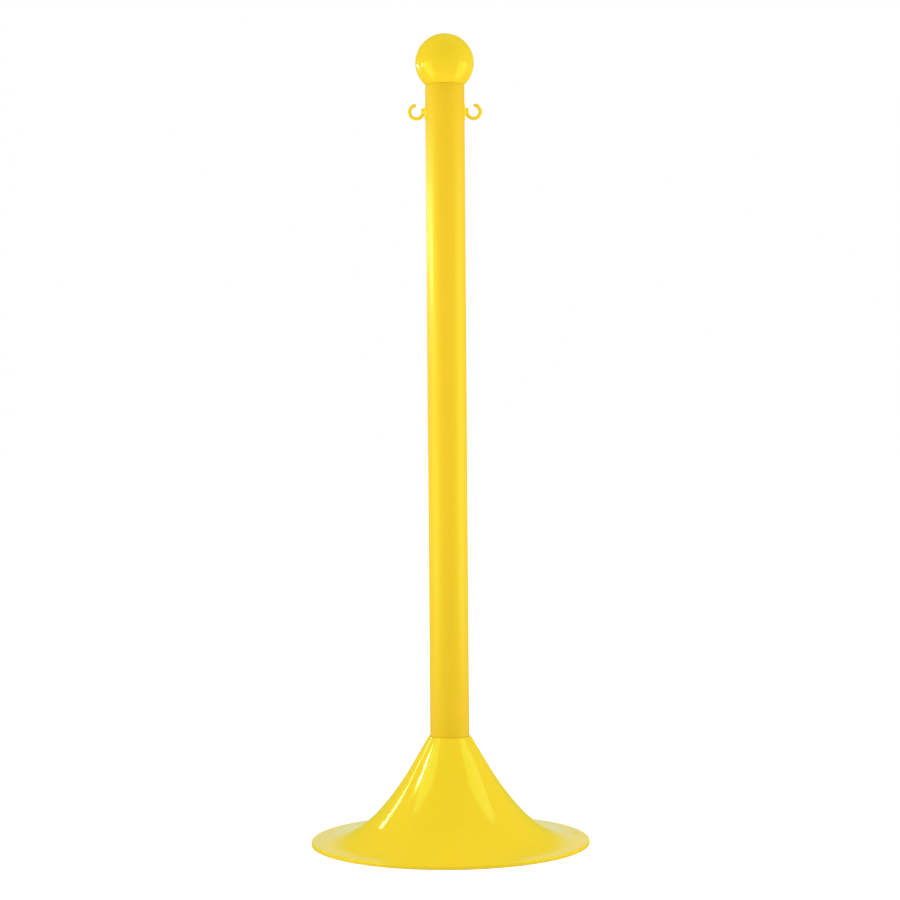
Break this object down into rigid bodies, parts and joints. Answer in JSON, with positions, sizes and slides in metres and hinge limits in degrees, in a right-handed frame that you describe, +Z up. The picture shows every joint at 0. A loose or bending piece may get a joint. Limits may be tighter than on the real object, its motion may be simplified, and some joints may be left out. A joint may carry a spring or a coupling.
{
  "type": "plastic chain stanchion",
  "caption": "Yellow plastic chain stanchion: trumpet base with sand ballast, round pole that lifts off, ball top and open C hooks for barrier chain.",
  "frame": {"origin": "on the floor, under the middle of the round base", "axes": "+Z up along the pole; the chain hooks point along +X and -X; -Y is the side seen in the picture"},
  "size_m": [0.3556, 0.3556, 1.0333],
  "materials": {
    "base_plastic": "gloss",
    "pan_plastic": "matte",
    "sand": "matte",
    "plug_plastic": "satin",
    "gasket_rubber": "matte",
    "pole_plastic": "satin",
    "ball_plastic": "gloss",
    "hook_plastic": "satin"
  },
  "bodies": {
    "base": {"base_shell": "base_plastic", "base_floor_pan": "pan_plastic", "sand_ballast": "sand"},
    "gasket": {"filler_gasket": "gasket_rubber"},
    "plug": {"filler_plug": "plug_plastic"},
    "pole": {"pole_tube": "pole_plastic", "chain_hook_right": "hook_plastic", "chain_hook_left": "hook_plastic"},
    "cap": {"ball_cap": "ball_plastic"}
  },
  "joints": [
    {"name": "pole_lift", "type": "slide", "parent": "base", "child": "pole", "axis": [0, 0, 1], "range_m": [0, 0.065]},
    {"name": "cap_pull", "type": "slide", "parent": "pole", "child": "cap", "axis": [0, 0, 1], "range_m": [0, 0.03]},
    {"name": "plug_drop", "type": "slide", "parent": "base", "child": "gasket", "axis": [0, 0, -1], "range_m": [0, 0.0101]},
    {"name": "plug_turn", "type": "hinge", "parent": "gasket", "child": "plug", "pos_m": [0, 0, 0.014], "axis": [0, 0, -1], "range_deg": [0, 900]}
  ],
  "couplings": [
    {"joint": "plug_drop", "follows": "plug_turn", "m_per_rad": 0.00063662}
  ]
}
